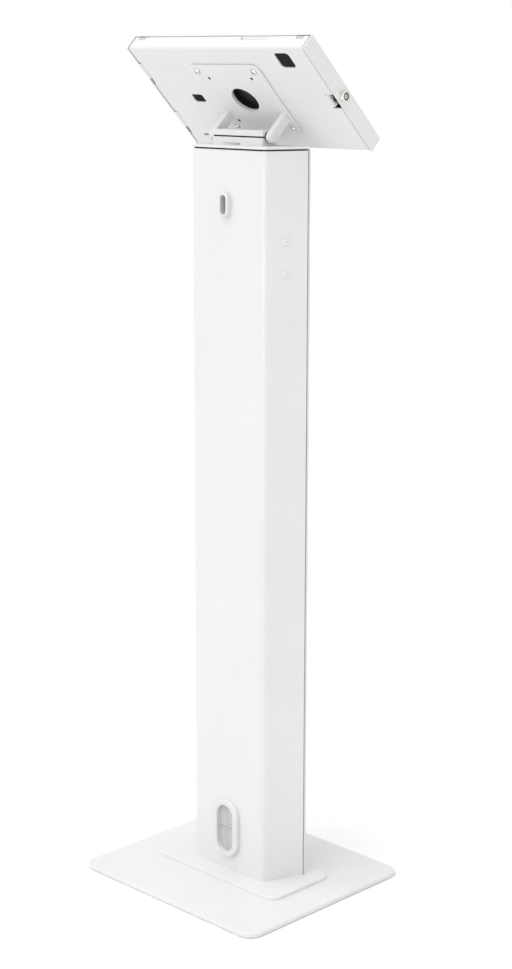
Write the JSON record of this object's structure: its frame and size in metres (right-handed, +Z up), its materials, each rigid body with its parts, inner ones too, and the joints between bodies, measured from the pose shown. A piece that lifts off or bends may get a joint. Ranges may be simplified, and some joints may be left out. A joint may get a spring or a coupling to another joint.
{
  "type": "tablet kiosk floor stand",
  "caption": "Free-standing tablet kiosk: folded steel column on a base plate with a tilting, lockable tablet enclosure and cable grommets.",
  "frame": {"origin": "centre of the base plate's footprint, on the floor", "axes": "+Z up; the screen faces -Y, the back with the cable grommets faces +Y; left and right are as seen from behind, so right is -X"},
  "size_m": [0.3262, 0.29, 1.1138],
  "materials": {
    "white_powder_coat": "satin white powder coat",
    "zinc_steel": "zinc-plated steel",
    "black_steel": "black painted steel",
    "nickel": "nickel plating",
    "white_plastic": "moulded white plastic",
    "grey_rubber": "light grey soft rubber",
    "black_rubber": "black rubber",
    "black_foam": "black closed-cell foam",
    "tablet_case": "dark anodised aluminium",
    "screen_glass": "black display glass",
    "bush_plastic": "black acetal"
  },
  "bodies": {
    "stand": {"base_bolts": "zinc_steel", "base_nuts": "zinc_steel", "base_plate": "white_powder_coat", "clamp_screws": "zinc_steel", "column_shell": "white_powder_coat", "floor_pads": "black_rubber", "foot_plate": "white_powder_coat", "front_panel": "white_powder_coat", "head_insert": "black_steel", "hinge_block_lower": "white_powder_coat", "hinge_block_upper": "white_powder_coat", "hinge_bolts": "zinc_steel", "insert_nuts": "zinc_steel", "lower_grommet": "white_plastic", "lower_grommet_flaps": "grey_rubber", "panel_studs": "zinc_steel", "shaft_bush": "bush_plastic", "side_screws": "white_powder_coat", "side_washers": "bush_plastic", "top_cap": "white_powder_coat", "upper_grommet": "white_plastic"},
    "head": {"pivot_shaft": "zinc_steel", "left_arm": "white_powder_coat", "right_arm": "white_powder_coat", "arm_set_screws": "zinc_steel", "arm_screws": "zinc_steel", "vesa_plate": "white_powder_coat", "vesa_screws": "zinc_steel", "vesa_nuts": "zinc_steel", "rear_shell": "white_powder_coat", "foam_backing": "black_foam", "tablet_body": "tablet_case", "tablet_glass": "screen_glass", "tablet_spacers": "black_foam"},
    "cover": {"front_cover": "white_powder_coat", "front_gasket": "black_foam", "lock_barrel": "nickel", "lock_nut": "black_steel", "lock_seal": "bush_plastic"},
    "lock": {"lock_plug": "nickel", "lock_cam": "black_steel", "cam_screw": "black_steel"}
  },
  "joints": [
    {"name": "head_tilt", "type": "hinge", "parent": "stand", "child": "head", "pos_m": [0, -0.004, 0.9898], "axis": [1, 0, 0], "range_deg": [-30, 30]},
    {"name": "cover_open", "type": "hinge", "parent": "head", "child": "cover", "pos_m": [0.152, -0.01054, 1.037], "axis": [0, 0.7071, 0.7071], "range_deg": [0, 100]},
    {"name": "lock_turn", "type": "hinge", "parent": "cover", "child": "lock", "pos_m": [-0.155, -0.01584, 1.04089], "axis": [1, 0, 0], "range_deg": [0, 90]}
  ]
}
